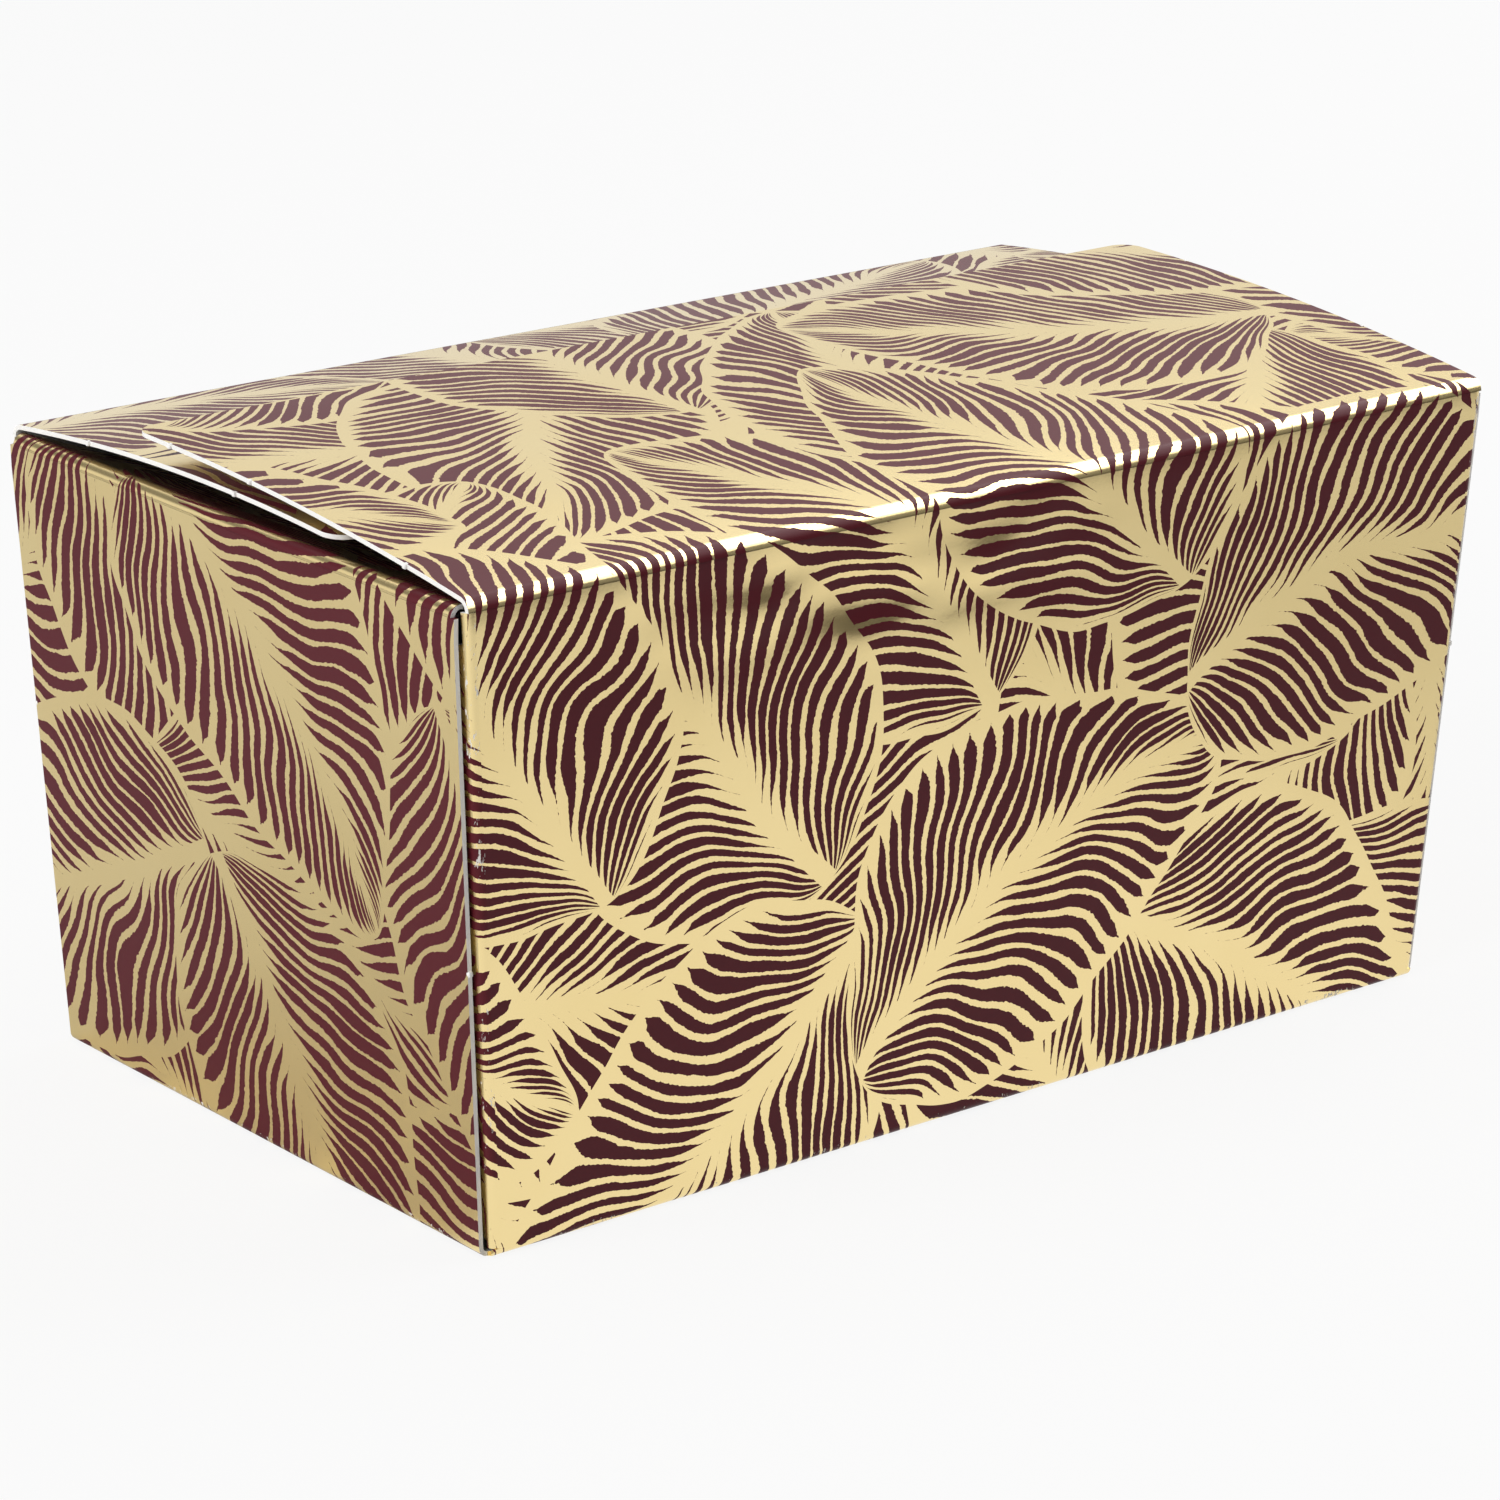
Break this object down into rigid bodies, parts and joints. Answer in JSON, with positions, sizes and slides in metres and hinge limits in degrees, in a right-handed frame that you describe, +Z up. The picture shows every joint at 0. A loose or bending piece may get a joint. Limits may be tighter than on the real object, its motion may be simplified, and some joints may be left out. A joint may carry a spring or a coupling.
{
  "type": "chocolate box",
  "caption": "Tapered folding carton for chocolates, closed by a bowed front lid over a back flap and drooping end flaps, all turning on creases.",
  "frame": {"origin": "on the floor under the middle of the base", "axes": "+X along the length, -Y towards the front wall, +Z up"},
  "size_m": [0.14, 0.08, 0.0735],
  "materials": {
    "printed_board": "gloss laminated print with gold foil",
    "glue": "dried dispersion glue"
  },
  "bodies": {
    "carton": {"back_base_fold": "printed_board", "back_flap_crease": "printed_board", "back_left_corner_fold": "printed_board", "back_left_glue_flap": "printed_board", "back_left_glue_seam": "glue", "back_right_corner_fold": "printed_board", "back_right_glue_flap": "printed_board", "back_right_glue_seam": "glue", "back_wall": "printed_board", "base_panel": "printed_board", "front_base_fold": "printed_board", "front_left_corner_fold": "printed_board", "front_left_glue_flap": "printed_board", "front_left_glue_seam": "glue", "front_lid_crease": "printed_board", "front_right_corner_fold": "printed_board", "front_right_glue_flap": "printed_board", "front_right_glue_seam": "glue", "front_wall": "printed_board", "left_base_fold": "printed_board", "left_end_flap_crease": "printed_board", "left_end_wall": "printed_board", "right_base_fold": "printed_board", "right_end_flap_crease": "printed_board", "right_end_wall": "printed_board"},
    "front_lid": {"front_lid": "printed_board"},
    "back_flap": {"back_flap": "printed_board"},
    "left_end_flap": {"left_end_flap": "printed_board"},
    "right_end_flap": {"right_end_flap": "printed_board"}
  },
  "joints": [
    {"name": "front_lid_hinge", "type": "hinge", "parent": "carton", "child": "front_lid", "pos_m": [0, -0.03975, 0.06875], "axis": [1, 0, 0], "range_deg": [0, 200]},
    {"name": "back_flap_hinge", "type": "hinge", "parent": "carton", "child": "back_flap", "pos_m": [0, 0.03975, 0.06875], "axis": [-1, 0, 0], "range_deg": [0, 90]},
    {"name": "left_end_flap_hinge", "type": "hinge", "parent": "carton", "child": "left_end_flap", "pos_m": [-0.06974, 0, 0.06855], "axis": [0, -1, 0], "range_deg": [0, 100]},
    {"name": "right_end_flap_hinge", "type": "hinge", "parent": "carton", "child": "right_end_flap", "pos_m": [0.06974, 0, 0.06855], "axis": [0, 1, 0], "range_deg": [0, 100]}
  ],
  "couplings": [
    {"joint": "back_flap_hinge", "follows": "front_lid_hinge", "ratio": 0.45},
    {"joint": "left_end_flap_hinge", "follows": "front_lid_hinge", "ratio": 0.5},
    {"joint": "right_end_flap_hinge", "follows": "front_lid_hinge", "ratio": 0.5}
  ]
}
